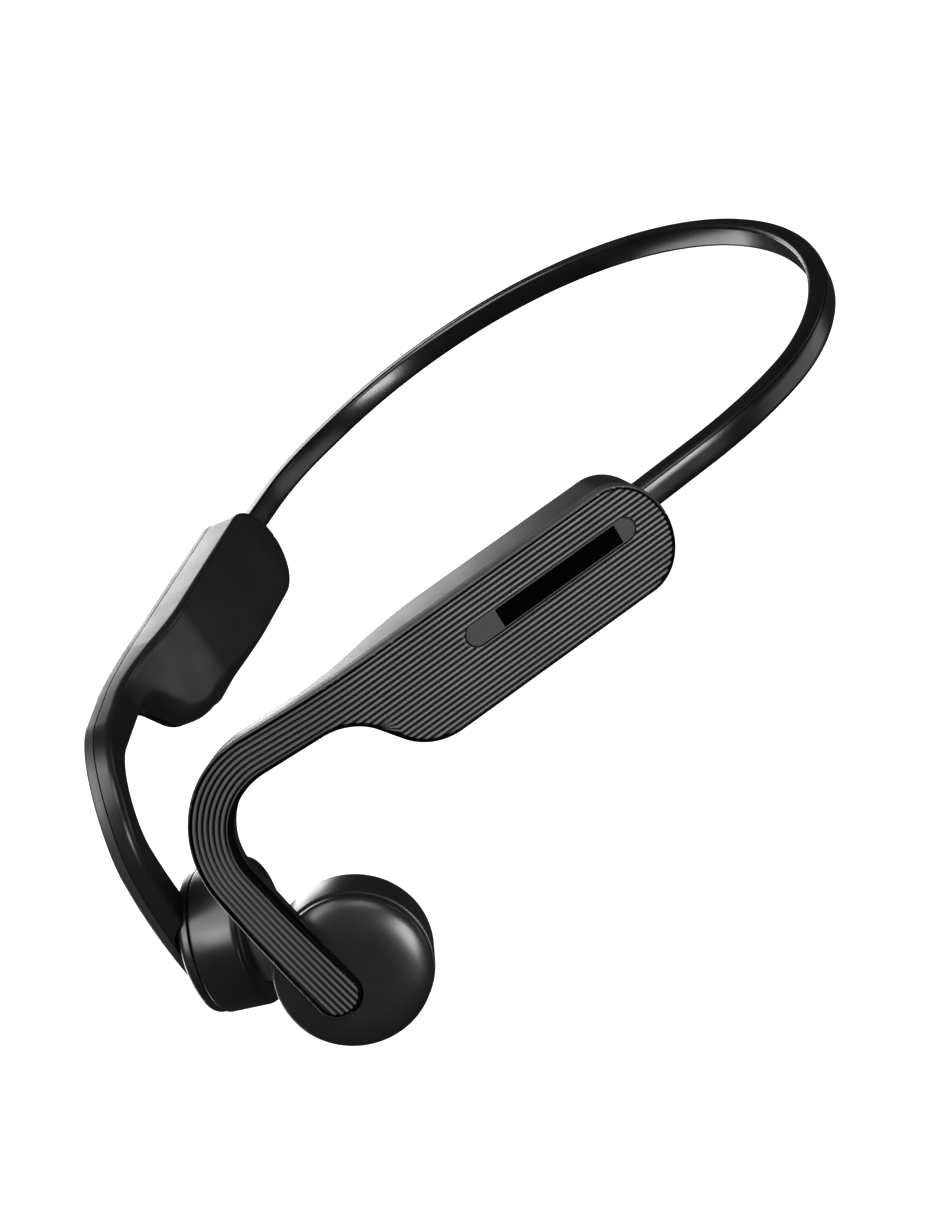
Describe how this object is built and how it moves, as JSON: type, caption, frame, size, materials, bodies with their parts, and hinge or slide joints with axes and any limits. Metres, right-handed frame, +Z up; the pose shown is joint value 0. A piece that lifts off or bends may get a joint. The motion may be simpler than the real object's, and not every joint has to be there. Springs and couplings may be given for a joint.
{
  "type": "bone conduction headphones",
  "caption": "Neckband bone conduction headphones: ribbed arms hook over the ears, disc pods rest on the cheekbones, and a sprung strap joins them behind the neck.",
  "frame": {"origin": "middle of the footprint, on the surface that the pods and the back of the strap stand on", "axes": "+Z up; +Y towards the back of the neck strap, so the wearer faces -Y; X across the head, wearer's left side at +X; the two sides mirror in the plane X = 0"},
  "size_m": [0.127, 0.167, 0.0525],
  "materials": {
    "ribbed_black": "matt black with fine ribs",
    "satin_black": "satin black",
    "strap_black": "smooth black silicone over a sprung wire",
    "gloss_black": "gloss black",
    "button_grey": "satin dark grey",
    "pad_grey": "matt dark grey silicone",
    "rubber_black": "matt black",
    "board_green": "solder mask green",
    "chip_grey": "plated can",
    "steel": "plated",
    "titanium": "sprung titanium alloy",
    "nickel": "nickel plated",
    "copper": "enamelled copper",
    "cell_silver": "foil pouch",
    "lamp_white": "clear light guide"
  },
  "bodies": {
    "right_side": {"right_outer_cover": "ribbed_black", "right_inner_shell": "satin_black", "right_hook_wire": "titanium", "right_pod_cap": "satin_black", "right_pod_shell": "satin_black", "right_pod_seal": "rubber_black", "right_contact_pad": "pad_grey", "right_transducer_yoke": "steel", "right_transducer_magnet": "nickel", "right_voice_coil": "copper", "right_vibration_plate": "titanium", "right_strap_sleeve": "strap_black", "right_strap_wire": "titanium", "right_strap_harness": "copper", "battery_cell": "cell_silver", "charge_board": "board_green", "charge_port": "nickel", "volume_up_switch": "chip_grey", "volume_down_switch": "chip_grey", "status_lamp": "lamp_white"},
    "left_side": {"left_outer_cover": "ribbed_black", "left_inner_shell": "satin_black", "left_hook_wire": "titanium", "left_pod_cap": "satin_black", "left_pod_shell": "satin_black", "left_pod_seal": "rubber_black", "left_contact_pad": "pad_grey", "left_transducer_yoke": "steel", "left_transducer_magnet": "nickel", "left_voice_coil": "copper", "left_vibration_plate": "titanium", "left_strap_sleeve": "strap_black", "left_strap_wire": "titanium", "left_strap_harness": "copper", "main_board": "board_green", "radio_module": "chip_grey", "microphone": "nickel", "button_switch": "chip_grey"},
    "function_button": {"multi_function_button": "button_grey", "button_bar": "gloss_black"},
    "volume_up": {"volume_up_button": "button_grey"},
    "volume_down": {"volume_down_button": "button_grey"},
    "flap": {"port_flap": "rubber_black"}
  },
  "joints": [
    {"name": "band_flex", "type": "hinge", "parent": "right_side", "child": "left_side", "pos_m": [0, 0.08309, 0.0017], "axis": [0, 0.3404, 0.9403], "range_deg": [0, 45], "stiffness_Nm_per_rad": 0.3},
    {"name": "function_button_press", "type": "slide", "parent": "left_side", "child": "function_button", "axis": [-0.8934, 0.4225, -0.1529], "range_m": [0, 0.0004], "stiffness_N_per_m": 800},
    {"name": "volume_up_press", "type": "slide", "parent": "right_side", "child": "volume_up", "axis": [0, 0.3404, 0.9403], "range_m": [0, 0.0004], "stiffness_N_per_m": 800},
    {"name": "volume_down_press", "type": "slide", "parent": "right_side", "child": "volume_down", "axis": [0, 0.3404, 0.9403], "range_m": [0, 0.0004], "stiffness_N_per_m": 800},
    {"name": "port_flap_hinge", "type": "hinge", "parent": "right_side", "child": "flap", "pos_m": [-0.03971, -0.02534, 0.02277], "axis": [0.8934, 0.4225, -0.1529], "range_deg": [0, 100], "stiffness_Nm_per_rad": 0.0002}
  ]
}
